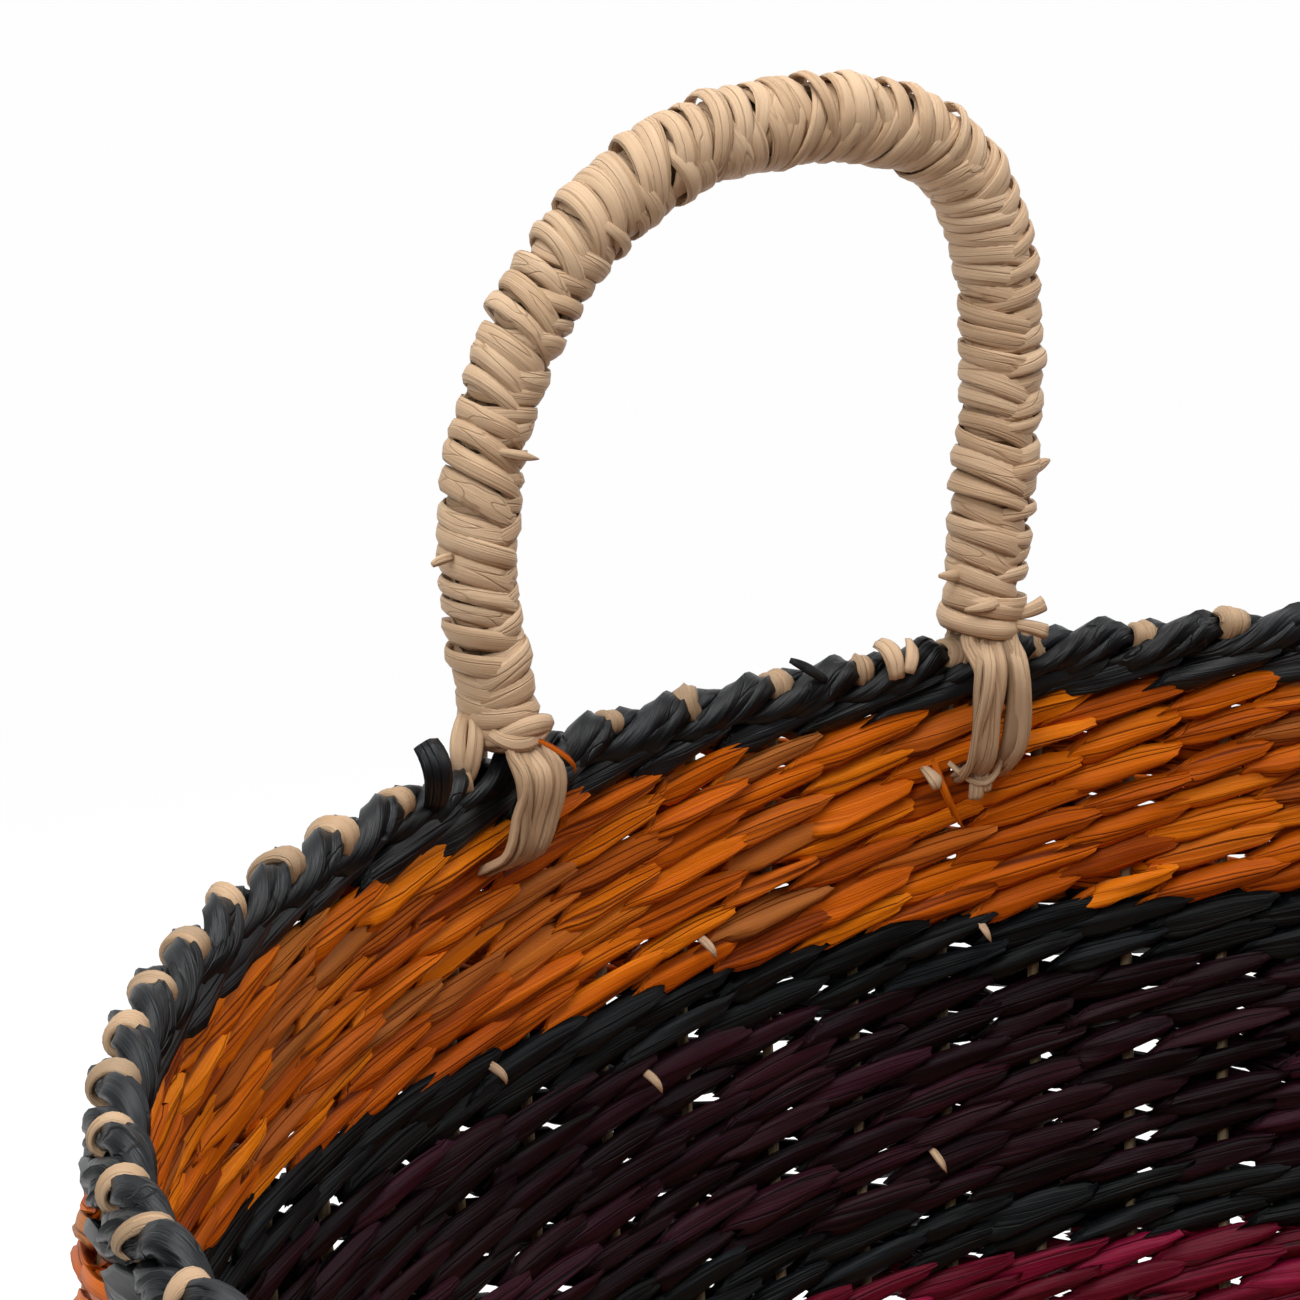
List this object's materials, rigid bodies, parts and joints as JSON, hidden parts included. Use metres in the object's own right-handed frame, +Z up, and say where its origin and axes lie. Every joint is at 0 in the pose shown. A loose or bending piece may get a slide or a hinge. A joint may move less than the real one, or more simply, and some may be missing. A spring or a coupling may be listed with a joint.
{
  "type": "bolga basket",
  "caption": "Round storage basket twined in striped bands of dyed seagrass round natural stakes, with a black border and wrapped bow handles lashed through the wall.",
  "frame": {"origin": "centre of the underside of the base, on the floor", "axes": "+Z up through the mouth, +Y towards handle_a, -Y towards handle_b, +X along the bow of handle_a"},
  "size_m": [0.503, 0.503, 0.4301],
  "materials": {
    "natural_seagrass": "dry natural seagrass, matt with a light sheen",
    "black_seagrass": "dyed seagrass, black with a soft sheen",
    "orange_seagrass": "dyed seagrass, uneven orange",
    "plum_seagrass": "dyed seagrass, dark plum",
    "magenta_seagrass": "dyed seagrass, dark magenta"
  },
  "bodies": {
    "basket": {"base_weft_lower": "natural_seagrass", "base_weft_upper": "natural_seagrass", "warp_stakes": "natural_seagrass", "border_core": "natural_seagrass", "foot_black_outer": "black_seagrass", "foot_black_inner": "black_seagrass", "lower_orange_outer": "orange_seagrass", "lower_orange_inner": "orange_seagrass", "third_black_outer": "black_seagrass", "third_black_inner": "black_seagrass", "magenta_outer": "magenta_seagrass", "magenta_inner": "magenta_seagrass", "second_black_outer": "black_seagrass", "second_black_inner": "black_seagrass", "plum_outer": "plum_seagrass", "plum_inner": "plum_seagrass", "first_black_outer": "black_seagrass", "first_black_inner": "black_seagrass", "upper_orange_outer": "orange_seagrass", "upper_orange_inner": "orange_seagrass", "border_outer": "black_seagrass", "border_inner": "black_seagrass", "handle_a_lash_left": "natural_seagrass", "handle_a_lash_right": "natural_seagrass", "handle_b_lash_left": "natural_seagrass", "handle_b_lash_right": "natural_seagrass"},
    "handle_a": {"handle_a_core": "natural_seagrass", "handle_a_wrap_left": "natural_seagrass", "handle_a_wrap_right": "natural_seagrass"},
    "handle_b": {"handle_b_core": "natural_seagrass", "handle_b_wrap_left": "natural_seagrass", "handle_b_wrap_right": "natural_seagrass"}
  },
  "joints": [
    {"name": "handle_a_lean", "type": "hinge", "parent": "basket", "child": "handle_a", "pos_m": [0, 0.22651, 0.31122], "axis": [1, 0, 0], "range_deg": [-30, 30], "stiffness_Nm_per_rad": 0.5},
    {"name": "handle_b_lean", "type": "hinge", "parent": "basket", "child": "handle_b", "pos_m": [0, -0.22651, 0.31122], "axis": [-1, 0, 0], "range_deg": [-30, 30], "stiffness_Nm_per_rad": 0.5}
  ]
}
